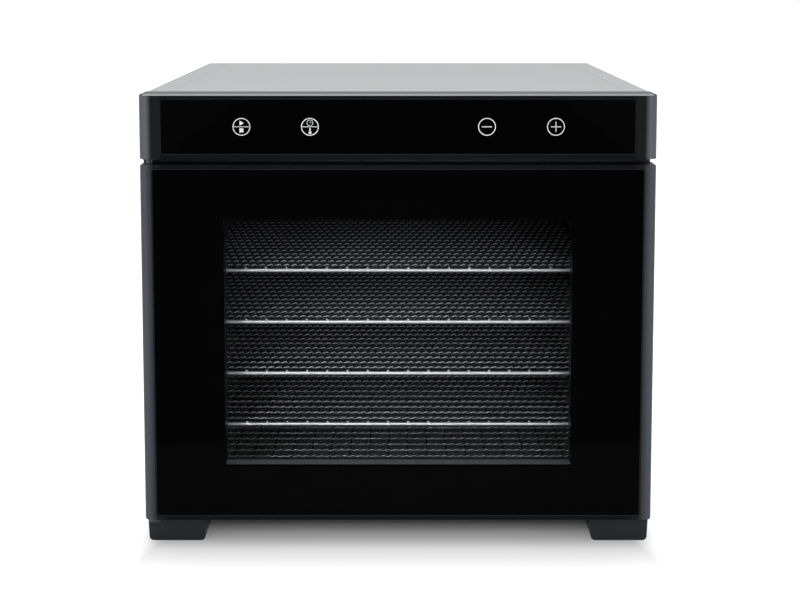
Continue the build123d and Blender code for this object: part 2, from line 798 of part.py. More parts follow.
with BuildPart() as upper_hinge_pin:
    with Locations((hinge_x, hinge_y, door_top - pin_depth)):
        Cylinder(
            pin_radius, pin_depth + door_head_gap + pin_rise, align=on_end
        )
    chamfer(upper_hinge_pin.edges().sort_by(Axis.Z)[-1], pin_radius / 5)
write_piece(upper_hinge_pin, "upper_hinge_pin")

with BuildPart() as lower_hinge_bracket:
    with BuildSketch(Plane.XY.offset(foot_height - bracket_thickness)):
        with Locations((hinge_x, hinge_y)):
            Circle(bracket_half_width)
        with Locations((hinge_x, hinge_y + bracket_length / 2)):
            Rectangle(2 * bracket_half_width, bracket_length)
    extrude(amount=bracket_thickness)
    with Locations((hinge_x, hinge_y, foot_height - bracket_thickness)):
        Cylinder(
            pin_radius,
            lower_pin_top - foot_height + bracket_thickness,
            align=on_end,
        )
write_piece(lower_hinge_bracket, "lower_hinge_bracket")

with BuildPart() as lower_hinge_bush:
    with BuildSketch(Plane.XY.offset(foot_height + sliding_clearance)):
        with Locations((hinge_x, hinge_y)):
            Circle(bush_flange_radius)
            Circle(pin_radius + running_clearance, mode=Mode.SUBTRACT)
    extrude(amount=door_drop - sliding_clearance)
    with BuildSketch(Plane.XY.offset(door_bottom)):
        with Locations((hinge_x, hinge_y)):
            Circle(bush_radius)
            Circle(pin_radius + running_clearance, mode=Mode.SUBTRACT)
    extrude(amount=pin_depth - bush_flange)
write_piece(lower_hinge_bush, "lower_hinge_bush")

# Door frame: a moulded ring, rounded down its sides, hollow at the back behind the glass
glass_seat = front_y + glass_set + glass_thickness
land_back = glass_seat + moulding
inner_glass_front = door_back - inner_panel_thickness - inner_glass_thickness
inner_panel_front = door_back - inner_panel_thickness
pocket_width = body_width - 2 * door_wall
pocket_height = door_height - 2 * door_wall
with BuildPart() as door_frame:
    with BuildSketch(Plane.XY.offset(door_bottom)):
        with Locations((0, hinge_y)):
            Rectangle(body_width, door_thickness)
    extrude(amount=door_height)
    fillet(door_frame.edges().filter_by(Axis.Z).group_by(Axis.Y)[0], door_edge)
    fillet(door_frame.edges().filter_by(Axis.Z).group_by(Axis.Y)[-1], door_back_edge)
    with BuildSketch(upright(door_back)):
        with Locations((0, door_middle)):
            RectangleRounded(body_width, door_height, door_corner)
    extrude(amount=door_thickness, mode=Mode.INTERSECT)
    with BuildSketch(upright(glass_seat)):
        with Locations((0, door_middle)):
            RectangleRounded(glass_width + slack, glass_height + slack, glass_corner)
    extrude(amount=glass_thickness + glass_set, mode=Mode.SUBTRACT)
    with BuildSketch(upright(door_back)):
        with Locations((0, door_middle)):
            Rectangle(pocket_width, pocket_height)
    extrude(amount=door_back - inner_glass_front, mode=Mode.SUBTRACT)
    with BuildSketch(upright(inner_glass_front)):
        with Locations((0, door_middle)):
            Rectangle(pocket_width, pocket_height)
        with Locations((0, window_middle)):
            Rectangle(window_width + 2 * moulding, window_height + 2 * moulding, mode=Mode.SUBTRACT)
    extrude(amount=inner_glass_front - land_back, mode=Mode.SUBTRACT)
    with BuildSketch(upright(inner_glass_front)):
        with Locations((0, window_middle)):
            Rectangle(window_width, window_height)
    extrude(amount=inner_glass_front - glass_seat, mode=Mode.SUBTRACT)
    for z in strike_places:
        block(
            (strike_x - magnet_width / 2 - moulding, strike_x + magnet_width / 2 + moulding),
            (land_back, door_back - magnet_thickness),
            (z - magnet_length / 2 - moulding, z + magnet_length / 2 + moulding),
        )
    with Locations((hinge_x, hinge_y, door_bottom), (hinge_x, hinge_y, door_top - pin_depth - moulding)):
        Cylinder(hinge_boss_radius, pin_depth + moulding, align=on_end)
    with Locations((hinge_x, hinge_y, door_top - pin_depth)):
        Cylinder(
            pin_radius + press_clearance,
            pin_depth,
            align=on_end,
            mode=Mode.SUBTRACT,
        )
    with Locations((hinge_x, hinge_y, door_bottom)):
        Cylinder(
            bush_radius + press_clearance,
            pin_depth,
            align=on_end,
            mode=Mode.SUBTRACT,
        )
write_piece(door_frame, "door_frame")

with BuildPart() as door_glass:
    with BuildSketch(upright(glass_seat)):
        with Locations((0, door_middle)):
            RectangleRounded(glass_width, glass_height, glass_corner)
    extrude(amount=glass_thickness)
write_piece(door_glass, "door_glass")

with BuildPart() as door_inner_glass:
    with BuildSketch(upright(inner_panel_front)):
        with Locations((0, window_middle)):
            Rectangle(window_width + 2 * inner_glass_lap, window_height + 2 * inner_glass_lap)
    extrude(amount=inner_glass_thickness)
write_piece(door_inner_glass, "door_inner_glass")

with BuildPart() as door_inner_panel:
    with BuildSketch(upright(door_back)):
        with Locations((0, door_middle)):
            Rectangle(pocket_width - slack, pocket_height - slack)
        with Locations((0, window_middle)):
            Rectangle(window_width, window_height, mode=Mode.SUBTRACT)
        with Locations([(strike_x, z) for z in strike_places]):
            Rectangle(magnet_width + slack, magnet_length + slack, mode=Mode.SUBTRACT)
    extrude(amount=inner_panel_thickness)
write_piece(door_inner_panel, "door_inner_panel")

with BuildPart() as door_magnets:
    with BuildSketch(upright(door_back)):
        with Locations([(strike_x, z) for z in strike_places]):
            Rectangle(magnet_width, magnet_length)
    extrude(amount=magnet_thickness)
write_piece(door_magnets, "door_magnets")

seal_inner_width = 2 * (cavity_half + seal_margin)
seal_inner_height = opening_height + 2 * seal_margin
with BuildPart() as door_seal:
    with BuildSketch(upright(frame_front - sliding_clearance)):
        with Locations((0, fan_z)):
            Rectangle(seal_inner_width + 2 * seal_width, seal_inner_height + 2 * seal_width)
            Rectangle(seal_inner_width, seal_inner_height, mode=Mode.SUBTRACT)
    extrude(amount=door_gap - sliding_clearance)
write_piece(door_seal, "door_seal")

# Trays: a rod bent to a rim, with a wire net welded on top, on each pair of ledges
rim_half = tray_half - tray_rod / 2
rim_front = tray_front + tray_rod / 2
rim_back = tray_back - tray_rod / 2
net_half = cavity_half - guide_width - sliding_clearance
net_column_pitch = (2 * net_half - net_wire) / net_columns
net_row_pitch = (rim_back - rim_front - net_wire) / net_rows
for number, level in enumerate(tray_levels, start=1):
    with BuildPart() as tray:
        with BuildLine():
            FilletPolyline(
                (0, rim_front, level),
                (rim_half, rim_front, level),
                (rim_half, rim_back, level),
                (0, rim_back, level),
                radius=tray_corner,
            )
        with BuildSketch(Plane((0, rim_front, level), x_dir=(0, 1, 0), z_dir=(1, 0, 0))):
            RegularPolygon(tray_rod / 2, rod_sides, major_radius=False, rotation=rod_turn)
        sweep()
        mirror(about=Plane.YZ)
        with BuildSketch(Plane.XY.offset(level + tray_rod / 2)):
            with Locations((0, tray_middle)):
                net = Rectangle(2 * net_half, rim_back - rim_front)
                chamfer(net.vertices(), net_bevel)
                with GridLocations(net_column_pitch, net_row_pitch, net_columns, net_rows):
                    Rectangle(net_column_pitch - net_wire, net_row_pitch - net_wire, mode=Mode.SUBTRACT)
        extrude(amount=net_thickness)
    write_piece(tray, f"tray_{number}")

# Drip tray: a shallow pan that slides on the cavity floor under the lowest tray
with BuildPart() as drip_tray:
    with BuildSketch(Plane.XY.offset(cavity_floor_z + sliding_clearance)):
        with Locations((0, tray_middle)):
            RectangleRounded(2 * tray_half, tray_back - tray_front, tray_corner / 2)
    extrude(amount=drip_height)
    offset(amount=-drip_sheet, openings=drip_tray.faces().sort_by(Axis.Z)[-1])
write_piece(drip_tray, "drip_tray")
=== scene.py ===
"""Looks of a box food dehydrator: its finishes, woven trays, key signs and screws, in a pale studio."""
import math

import bmesh
import bpy
from mathutils import Matrix, Vector


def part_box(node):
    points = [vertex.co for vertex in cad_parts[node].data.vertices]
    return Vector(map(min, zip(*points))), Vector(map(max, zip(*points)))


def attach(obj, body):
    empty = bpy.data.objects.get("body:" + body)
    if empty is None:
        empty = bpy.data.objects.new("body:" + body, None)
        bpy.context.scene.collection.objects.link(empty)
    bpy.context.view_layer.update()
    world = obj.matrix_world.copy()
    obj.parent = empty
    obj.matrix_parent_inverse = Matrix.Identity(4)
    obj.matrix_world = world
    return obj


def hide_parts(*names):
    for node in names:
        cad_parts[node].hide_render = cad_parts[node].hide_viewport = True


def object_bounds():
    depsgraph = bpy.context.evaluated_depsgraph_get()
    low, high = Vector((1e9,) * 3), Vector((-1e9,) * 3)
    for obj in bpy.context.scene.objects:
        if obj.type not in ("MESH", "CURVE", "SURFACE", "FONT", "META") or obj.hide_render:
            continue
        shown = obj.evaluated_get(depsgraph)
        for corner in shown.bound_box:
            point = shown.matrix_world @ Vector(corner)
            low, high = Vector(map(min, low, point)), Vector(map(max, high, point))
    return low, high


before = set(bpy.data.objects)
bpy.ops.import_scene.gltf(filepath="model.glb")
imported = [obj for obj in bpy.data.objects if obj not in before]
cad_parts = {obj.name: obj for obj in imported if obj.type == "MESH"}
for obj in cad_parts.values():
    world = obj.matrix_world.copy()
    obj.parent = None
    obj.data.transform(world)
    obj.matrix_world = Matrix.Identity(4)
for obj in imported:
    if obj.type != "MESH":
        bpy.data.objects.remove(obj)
cad_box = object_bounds()


# Base and brackets: the pan under the casing, the fan can, the motor's mounts and the latch plates.
# They are of galvanised steel, stamped and folded, and left unpainted.
# Rolling leaves faint lines along the sheet.
class Value:
    """The output of a shader node, on which sums are written as on a number."""

    def __init__(self, finish, socket):
        self.finish = finish
        self.socket = socket

    def sum(self, operation, first, second):
        return self.finish.node("Math", {"operation": operation}, {0: first, 1: second})

    def __add__(self, other):
        return self.sum("ADD", self, other)

    def __radd__(self, other):
        return self.sum("ADD", other, self)

    def __sub__(self, other):
        return self.sum("SUBTRACT", self, other)

    def __rsub__(self, other):
        return self.sum("SUBTRACT", other, self)

    def __mul__(self, other):
        return self.sum("MULTIPLY", self, other)

    def __rmul__(self, other):
        return self.sum("MULTIPLY", other, self)

    def __pow__(self, other):
        return self.sum("POWER", self, other)

    def __rpow__(self, other):
        return self.sum("POWER", other, self)

    def __lt__(self, other):
        return self.sum("LESS_THAN", self, other)

    def __gt__(self, other):
        return self.sum("GREATER_THAN", self, other)

    def __abs__(self):
        return self.sum("ABSOLUTE", self, 0)

    def highest(self, other):
        return self.sum("MAXIMUM", self, other)


class Finish:
    """The nodes of a material or of the room's light, added with one call for each."""

    def __init__(self, owner, shader="Principled BSDF", **constants):
        owner.use_nodes = True
        self.owner = owner
        self.tree = owner.node_tree
        self.shader = self.tree.nodes[shader]
        for socket, value in constants.items():
            self.feed(socket.replace("_", " "), value)

    def node(self, kind, settings, inputs, output=0):
        """Any node: its settings are set first, then its sockets get their values or links."""
        made = self.tree.nodes.new("ShaderNode" + kind)
        for setting, value in settings.items():
            setattr(made, setting, value)
        for socket, value in inputs.items():
            self.join(value, made.inputs[socket])
        return Value(self, made.outputs[output])

    def join(self, value, socket):
        if isinstance(value, Value):
            self.tree.links.new(value.socket, socket)
        else:
            socket.default_value = value

    def feed(self, socket, value):
        """Give a socket of the shader its value or link."""
        self.join(value, self.shader.inputs[socket])

    def place(self, stretch=(1, 1, 1)):
        """Where a point lies on the piece, in metres, with each direction stretched by its own factor."""
        spot = self.node("TexCoord", {}, {}, "Object")
        return self.node("Mapping", {}, {"Vector": spot, "Scale": stretch})

    def axes(self):
        """The same place as three values: to the right, to the back and up."""
        return [self.node("SeparateXYZ", {}, {0: self.place()}, axis) for axis in "XYZ"]

    def grain(self, spots, detail=2.0, stretch=(1, 1, 1)):
        """A cloudy pattern with about that many spots in a metre."""
        sockets = {"Vector": self.place(stretch), "Scale": spots, "Detail": detail}
        return self.node("TexNoise", {}, sockets, "Fac")

    def blend(self, share, first, second):
        """A colour that goes from the first to the second as the share goes from 0 to 1."""
        first, second = (part if isinstance(part, Value) else (*part, 1.0) for part in (first, second))
        return self.node("Mix", {"data_type": "RGBA"}, {0: share, 6: first, 7: second}, 2)

    def step(self, value, rise):
        """0 below zero and 1 above it, with a rise of that length between, in metres."""
        settings = {"operation": "MULTIPLY_ADD", "use_clamp": True}
        return self.node("Math", settings, {0: value, 1: 1 / rise, 2: 0.5})

    def relief(self, height, depth):
        """Fine unevenness of that depth in metres."""
        self.feed("Normal", self.node("Bump", {}, {"Height": height, "Distance": depth, "Strength": 1.0}))


fine_detail = 3.0
fine_share = 0.6
drift_spots = 7.0
gloss_change = 0.16


def surface(name, colour, change, spots, roughness, depth, stretch=(1, 1, 1), **constants):
    """A finish whose colour, gloss and relief follow one fine grain, with a broad drift of colour over it."""
    finish = Finish(bpy.data.materials.new(name), **constants)
    fine = finish.grain(spots, fine_detail, stretch)
    drift = finish.grain(drift_spots)
    deep = [part * (1 - change) for part in colour]
    pale = [part * (1 + change) for part in colour]
    finish.feed("Base Color", finish.blend(fine * fine_share + drift * (1 - fine_share), deep, pale))
    finish.feed("Roughness", fine * gloss_change + (roughness - gloss_change / 2))
    finish.relief(fine, depth)
    return finish


def coat(finish, *names):
    """Give these pieces of the frame a finish."""
    for name in names:
        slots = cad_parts[name].data.materials
        slots.clear()
        slots.append(finish.owner)


zinc = surface(
    "zinc", (0.52, 0.53, 0.54), change=0.12, spots=260, roughness=0.42, depth=0.00001,
    stretch=(1, 0.15, 1), Metallic=1.0,
)
coat(zinc, "base_pan", "fan_housing", "heater_clips", "motor_bridges", "motor_posts", "strike_plates")


# Cavity: floor, ceiling and rear bulkhead of black-coated steel sheet, folded and spot-welded.
# Between them stand two liners of brushed stainless steel, with the tray ledges pressed into them.
enamel = surface(
    "enamel", (0.012, 0.012, 0.0125), change=0.15, spots=1200, roughness=0.5, depth=0.00002,
    Specular_IOR_Level=0.2,
)
coat(enamel, "rear_baffle", "cavity_floor", "cavity_ceiling")
liner_steel = surface(
    "liner_steel", (0.40, 0.41, 0.42), change=0.10, spots=500, roughness=0.36, depth=0.000005,
    stretch=(1, 0.05, 1), Metallic=1.0,
)
coat(liner_steel, "left_liner", "right_liner")


# Fan bay: a fan of black-coated aluminium on a steel shaft in bronze bushes, with a tube heater round it.
# The heater is tinted by its heat. The motor has varnished laminations and a taped coil.
# A sensor in a plated sleeve and a cut-out in a black moulding watch the heat.
aluminium = surface(
    "aluminium", (0.03, 0.03, 0.032), change=0.10, spots=400, roughness=0.5, depth=0.00001
)
coat(aluminium, "fan_impeller")
tinted_tube = surface(
    "tinted_tube", (0.27, 0.22, 0.18), change=0.35, spots=60, roughness=0.45, depth=0.00001, Metallic=1.0
)
coat(tinted_tube, "heater_element")
plated = surface(
    "plated", (0.60, 0.61, 0.62), change=0.05, spots=700, roughness=0.30, depth=0.000005, Metallic=1.0
)
coat(plated, "motor_shaft", "temperature_sensor")
laminations = surface(
    "laminations", (0.10, 0.10, 0.105), change=0.5, spots=900, roughness=0.5, depth=0.00004,
    stretch=(0.02, 1, 0.02), Metallic=0.8,
)
coat(laminations, "motor_core")
coil_tape = surface(
    "coil_tape", (0.55, 0.40, 0.10), change=0.15, spots=220, roughness=0.5, depth=0.00005,
    stretch=(1, 0.2, 1),
)
coat(coil_tape, "motor_coil")
bronze = surface(
    "bronze", (0.55, 0.36, 0.16), change=0.1, spots=900, roughness=0.4, depth=0.00001, Metallic=1.0
)
coat(bronze, "motor_bushes")
black_moulding = surface(
    "black_moulding", (0.010, 0.010, 0.011), change=0.15, spots=1500, roughness=0.55, depth=0.00003,
    Specular_IOR_Level=0.2,
)
coat(black_moulding, "thermal_cutout")


# Electronics: green laminate boards over the cavity and behind the control glass.
# Black moulded parts are soldered to them, and a plated spring stands behind each key.
laminate = surface(
    "laminate", (0.03, 0.13, 0.06), change=0.2, spots=500, roughness=0.45, depth=0.00002
)
coat(laminate, "control_board", "power_board")
coat(black_moulding, "display_module", "board_parts")
coat(plated, "touch_springs")


# Casing: the sides, top and rear are folded steel sheet, sprayed in satin silver grey.
# The sides fold over the top, and the top panel lies between the folds.
silver_paint = surface(
    "silver_paint", (0.385, 0.39, 0.395), change=0.05, spots=900, roughness=0.50, depth=0.00002,
    Specular_IOR_Level=0.2,
)
coat(silver_paint, "left_side_panel", "right_side_panel", "top_panel", "rear_panel")


# Plain mouldings: the bezel round the cavity, the feet, the door's inner panel and the power inlet.
# They are moulded in dark blue-grey plastic, with a fine even grain.
moulding_spots = 1800
moulding_roughness = 0.34
moulding_depth = 0.00002
dark_moulding = surface(
    "dark_moulding", (0.011, 0.016, 0.020), change=0.12, spots=moulding_spots,
    roughness=moulding_roughness, depth=moulding_depth, Specular_IOR_Level=0.2,
)
coat(dark_moulding, "front_frame", "feet", "door_inner_panel", "power_inlet")


# Control housing: a hollow moulding on top of the front, with a painted highlight on its rounded upright
# edges.
# Along its upper edge a light band is painted: a bright painted highlight on the front rounding, and a dimmer
# painted sheen on the flat top behind it.
flank_width = 0.0075
flank_rise = 0.0005
housing_edge = 0.0066
strip_height = 0.0009
strip_rounding = 0.0016
strip_rise = 0.00025


def edged_moulding(name, edge_place, fade, edge_highlight_grey):
    """The same plastic with a painted highlight on its rounded upright edges; gives the finish and its
    colour.
    """
    finish = Finish(bpy.data.materials.new(name), Specular_IOR_Level=0.045)
    across = abs(finish.axes()[0])
    fine = finish.grain(moulding_spots, fine_detail)
    plain = finish.blend(fine, (0.0026, 0.0032, 0.0042), (0.0034, 0.0040, 0.0054))
    flank = finish.blend(fine, (0.0080, 0.0088, 0.0100), (0.0092, 0.0100, 0.0114))
    plain = finish.blend(finish.step(across - (edge_place - flank_width), flank_rise), plain, flank)
    finish.feed("Roughness", fine * gloss_change + (moulding_roughness - gloss_change / 2))
    finish.relief(fine, moulding_depth)
    # Past edge_place the colour fades to a lighter grey: a painted highlight on the rounding.
    return finish, finish.blend(finish.step(across - edge_place, fade), plain, edge_highlight_grey)


housing_low, housing_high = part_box("control_housing")
housing_highlit, housing_with_edge_highlight = edged_moulding(
    "housing_highlit_moulding", housing_high.x - housing_edge, fade=0.003, edge_highlight_grey=(0.110, 0.122, 0.141)
)
_, behind, up = housing_highlit.axes()
# A painted highlight on the top front rounding, and a dimmer painted sheen on the top behind it.
top_highlight_band = housing_highlit.step(up - (housing_high.z - strip_height), strip_rise)
flat = housing_highlit.step(behind - (housing_low.y + strip_rounding), strip_rise)
painted_top_highlight = housing_highlit.blend(flat, (0.31, 0.32, 0.33), (0.02, 0.021, 0.023))
housing_highlit.feed("Base Color", housing_highlit.blend(top_highlight_band, housing_with_edge_highlight, painted_top_highlight))
coat(housing_highlit, "control_housing")


# Control glass: a pane let into the housing and glued there, with a thin painted highlight along its rim.
# It is printed black on its back, with a smoked strip over the unlit display.
rim_line = 0.0006
rim_corner = 0.0025
rim_rise = 0.0002
rim_highlight_grey = (0.016, 0.018, 0.022)
display_rise = 0.00067
smoke_share = 0.8
haze = 0.03


def glazing(name):
    """A pane that hardly mirrors anything."""
    return Finish(bpy.data.materials.new(name), IOR=1.45, Specular_IOR_Level=0.015)


def rim(finish, low, high):
    """1 on a thin line along the rim of a pane with rounded corners that fills the box, and 0 inside it."""
    across, _, up = finish.axes()
    middle = (low.z + high.z) / 2
    beyond_side = (abs(across) - (high.x - rim_corner)).highest(0)
    beyond_end = (abs(up - middle) - (high.z - middle - rim_corner)).highest(0)
    reach = (beyond_side * beyond_side + beyond_end * beyond_end) ** 0.5
    return finish.step(reach - (rim_corner - rim_line), rim_rise)


def window(finish, half_width, foot, head, rise):
    """1 inside an upright rectangle about the middle of the front, and 0 outside it."""
    across, _, up = finish.axes()
    middle = (foot + head) / 2
    return finish.step(half_width - abs(across), rise) * finish.step(head - middle - abs(up - middle), rise)


display_low, display_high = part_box("display_module")
touch_low, touch_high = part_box("control_glass")
touch_pane = glazing("touch_pane")
touch_grain = touch_pane.grain(spots=120.0)
smoked = window(touch_pane, display_high.x, display_low.z, display_high.z, display_rise)
smoked = smoked * smoke_share + touch_grain * (1 - smoke_share)
touch_black = touch_pane.blend(smoked, (0.0007, 0.0007, 0.0008), (0.0012, 0.0010, 0.0011))
# The pane's rim is a lighter grey: a painted highlight.
touch_pane.feed("Base Color", touch_pane.blend(rim(touch_pane, touch_low, touch_high), touch_black, rim_highlight_grey))
touch_pane.feed("Roughness", touch_grain * haze + 0.04)
coat(touch_pane, "control_glass")


# Key signs: white ink printed on the control glass, each in a ring over its touch spring.
# Start and stop, time and heat, less, and more are told by plain signs.
start_key, heat_key, less_key, more_key = -0.1024, -0.0576, 0.0582, 0.1033
sign_level = (touch_low.z + touch_high.z) / 2
ring_radius = 0.0058
line = 0.00055
middle_line = 0.7 * line
clock_line = 0.55 * line
hand_line = 0.4 * line
triangle_radius, triangle_rise = 0.0019, 0.0024
triangle_shift = 0.0003
square_side, square_drop = 0.0026, 0.0023
clock_radius, clock_rise = 0.0021, 0.0026
hand_length, hand_shift = 0.0012, 0.0005
stem_width, stem_length, stem_drop = 0.0009, 0.0026, 0.0020
bulb_radius, bulb_drop = 0.0010, 0.0037
dash_length = 0.0066
ink_thickness = 0.00008
ink = surface("key_ink", (0.72, 0.73, 0.74), change=0.04, spots=900, roughness=0.5, depth=0.00001)


def only(kind, geom):
    """Those parts of a mesh that are of one kind."""
    return [part for part in geom if isinstance(part, kind)]


def ring_edges(verts):
    """The edges at these points, each once and in order."""
    return list(dict.fromkeys(edge for vert in verts for edge in vert.link_edges))


def new_piece(bm, name, finish, body):
    """Make a finished mesh into a piece of the object."""
    mesh = bpy.data.meshes.new(name)
    bm.to_mesh(mesh)
    bm.free()
    mesh.materials.append(finish.owner)
    piece = bpy.data.objects.new(name, mesh)
    bpy.context.scene.collection.objects.link(piece)
    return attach(piece, body)


def sign_place(x, z):
    """Puts a flat sign, drawn in its own plane, upright on the glass."""
    upright = Matrix.Rotation(math.radians(90), 4, "X")
    return Matrix.Translation((x, touch_low.y, sign_level + z)) @ upright


def ring_sign(bm, x, z, radius, width, sides):
    """A ring of that width inside its radius."""
    verts = []
    for edge_radius in (radius, radius - width):
        circle = bmesh.ops.create_circle(bm, segments=sides, radius=edge_radius, matrix=sign_place(x, z))
        verts += circle["verts"]
    bmesh.ops.bridge_loops(bm, edges=ring_edges(verts))


def bar_sign(bm, x, z, width, height):
    """A bar about its middle."""
    matrix = sign_place(x, z) @ Matrix.Diagonal((width / 2, height / 2, 1, 1))
    bmesh.ops.create_grid(bm, x_segments=1, y_segments=1, size=1, matrix=matrix)


def disc_sign(bm, x, z, radius, sides, turned=0):
    """A disc, or a triangle with three sides."""
    matrix = sign_place(x, z) @ Matrix.Rotation(math.radians(turned), 4, "Z")
    bmesh.ops.create_circle(bm, segments=sides, radius=radius, cap_ends=True, matrix=matrix)


signs = bmesh.new()
for key in (start_key, heat_key, less_key, more_key):
    ring_sign(signs, key, 0, ring_radius, line, sides=56)
for key in (start_key, heat_key):
    bar_sign(signs, key, 0, 2 * ring_radius - line, middle_line)
disc_sign(signs, start_key - triangle_shift, triangle_rise, triangle_radius, sides=3, turned=-90)
bar_sign(signs, start_key, -square_drop, square_side, square_side)
ring_sign(signs, heat_key, clock_rise, clock_radius, clock_line, sides=32)
bar_sign(signs, heat_key, clock_rise + hand_shift, hand_line, hand_length)
bar_sign(signs, heat_key + hand_shift, clock_rise, hand_length, hand_line)
bar_sign(signs, heat_key, -stem_drop, stem_width, stem_length)
disc_sign(signs, heat_key, -bulb_drop, bulb_radius, sides=20)
for key in (less_key, more_key):
    bar_sign(signs, key, 0, dash_length, line)
bar_sign(signs, more_key, 0, line, dash_length)
film = bmesh.ops.extrude_face_region(signs, geom=signs.faces[:])["geom"]
bmesh.ops.translate(signs, verts=only(bmesh.types.BMVert, film), vec=(0, -ink_thickness, 0))
bmesh.ops.recalc_face_normals(signs, faces=signs.faces)
new_piece(signs, "key_signs", ink, "cabinet")


# Door frame: a moulded ring, hollow at the back, with a painted highlight on its rounded upright edges.
# The window's opening in it shows as a light sill along the window's foot.
door_edge = 0.0062
window_side = 0.0465
window_foot = 0.0345
window_head = 0.034
sill_half = 0.0006
sill_rise = 0.000125
glass_low, glass_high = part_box("door_glass")
window_half = glass_high.x - window_side
window_low = glass_low.z + window_foot
window_high = glass_high.z - window_head
# The door's rounded upright edges get a lighter grey, a painted highlight.
door_moulding, door_with_edge_highlight = edged_moulding(
    "door_moulding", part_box("door_frame")[1].x - door_edge, fade=0.006, edge_highlight_grey=(0.074, 0.083, 0.096)
)
sill = window(door_moulding, window_half, window_low - sill_half, window_low + sill_half, sill_rise)
door_moulding.feed("Base Color", door_moulding.blend(sill, door_with_edge_highlight, (0.115, 0.120, 0.128)))
coat(door_moulding, "door_frame")


# Hinge and latch: a blackened steel bracket and pins, turning in black acetal bushes.
# Ferrite magnets in the door pull it to the plates, and a soft silicone seal lies between.
black_steel = surface(
    "black_steel", (0.016, 0.016, 0.018), change=0.1, spots=700, roughness=0.36, depth=0.00001
)
coat(black_steel, "lower_hinge_bracket", "upper_hinge_pin")
acetal = surface("acetal", (0.012, 0.012, 0.013), change=0.1, spots=600, roughness=0.45, depth=0.00001)
coat(acetal, "upper_hinge_bush", "lower_hinge_bush")
ferrite = surface("ferrite", (0.05, 0.05, 0.053), change=0.15, spots=800, roughness=0.6, depth=0.00003)
coat(ferrite, "door_magnets")
silicone = surface(
    "silicone", (0.018, 0.018, 0.018), change=0.15, spots=900, roughness=0.7, depth=0.00003,
    Specular_IOR_Level=0.2,
)
coat(silicone, "door_seal")


# Door glass: a tempered pane let into the frame, printed black on its back but for a lightly smoked window.
# The print's edge is sharp. A clear second pane is held behind the window by the inner panel.
print_rise = 0.00025
window_clearness = 0.88
pane = glazing("door_pane")
pane_grain = pane.grain(spots=90.0)
print_black = pane.blend(pane_grain, (0.0007, 0.0007, 0.0008), (0.0012, 0.0012, 0.0013))
# The pane's rim is a lighter grey: a painted highlight.
pane.feed("Base Color", pane.blend(rim(pane, glass_low, glass_high), print_black, rim_highlight_grey))
pane.feed("Roughness", pane_grain * haze + 0.04)
pane.feed("Alpha", 1 - window(pane, window_half, window_low, window_high, print_rise) * window_clearness)
coat(pane, "door_glass")

clear_pane = glazing("clear_pane")
clear_grain = clear_pane.grain(spots=60.0)
clear_tint = clear_pane.blend(clear_grain, (0.004, 0.0044, 0.0042), (0.006, 0.0064, 0.0062))
clear_pane.feed("Base Color", clear_tint)
clear_pane.feed("Roughness", clear_grain * haze + 0.03)
clear_pane.feed("Alpha", clear_grain * 0.02 + 0.06)
coat(clear_pane, "door_inner_glass")


# Trays: a rim of bent rod with a bead at each weld, and crimped wires across it, in bright stainless wire.
# The crimped wires rise out of a net of finer wire, which lies on cross wires that are welded to the rim at
# the front and the back. Net and cross wires are coloured a dull dark grey: painted shade among the wires.
rod = 0.0015
corner = 0.006
cross_wire = 0.0006
cross_pitch = 0.01388
cross_count = 20
cross_rise = 0.4 * rod
weld = 0.0011
weld_rise = 1.05 * rod
weld_out = 0.3 * rod
net_wire = 0.00038
net_pitch = 0.00275
net_rows = 17
net_gap = 1.3 * rod
crimp = 0.00058
climb, drop, level_run = 1.35 * net_pitch, 0.35 * net_pitch, 0.15 * net_pitch
fine_wire = 0.00022
fine_rows = 6
long_wire = 0.00014
wire_steel = surface(
    "wire_steel", (0.76, 0.80, 0.84), change=0.08, spots=500, roughness=0.42, depth=0.00001, Metallic=1.0
)
# The net and its cross wires are coloured dark as painted shade, for the shade among the wires.
shaded_net_wire = surface(
    "shaded_net_wire", (0.026, 0.029, 0.033), change=0.15, spots=500, roughness=0.6, depth=0.00001,
    Specular_IOR_Level=0.2,
)


def run(bm, edges, way):
    """Draw the end of a wire on in a straight line, and return its new end."""
    made = bmesh.ops.extrude_edge_only(bm, edges=edges)["geom"]
    bmesh.ops.translate(bm, verts=only(bmesh.types.BMVert, made), vec=way)
    return only(bmesh.types.BMEdge, made)


def turn(bm, edges, centre):
    """Bend the end of a wire a quarter turn to the left, and return its new end."""
    quarter = math.radians(90)
    made = bmesh.ops.spin(bm, geom=edges, cent=centre, axis=(0, 0, 1), angle=quarter, steps=8)
    return only(bmesh.types.BMEdge, made["geom_last"])


def straight_wire(bm, start, end, radius, sides):
    """A round wire from one point to another, closed at both ends."""
    way = Vector(end) - Vector(start)
    along = way.to_track_quat("Z", "Y").to_matrix().to_4x4()
    bmesh.ops.create_cone(
        bm, cap_ends=True, segments=sides, radius1=radius, radius2=radius, depth=way.length,
        matrix=Matrix.Translation((Vector(start) + Vector(end)) / 2) @ along,
    )


def wire_start(bm, place, radius, sides, closed):
    """The ring at which a wire across the tray starts, facing along X."""
    facing = Matrix.Translation(place) @ Matrix.Rotation(math.radians(90), 4, "Y")
    ring = bmesh.ops.create_circle(bm, segments=sides, radius=radius, cap_ends=closed, matrix=facing)
    return ring_edges(ring["verts"])


def crimped_wire(bm, place, waves):
    """A wire across the tray that climbs slowly over the net and drops back into it."""
    end = wire_start(bm, place, net_wire, sides=5, closed=True)
    for _ in range(waves):
        end = run(bm, end, (climb, 0, 2 * crimp))
        end = run(bm, end, (level_run, 0, 0))
        end = run(bm, end, (drop, 0, -2 * crimp))
        end = run(bm, end, (level_run, 0, 0))
    bmesh.ops.edgeloop_fill(bm, edges=end)


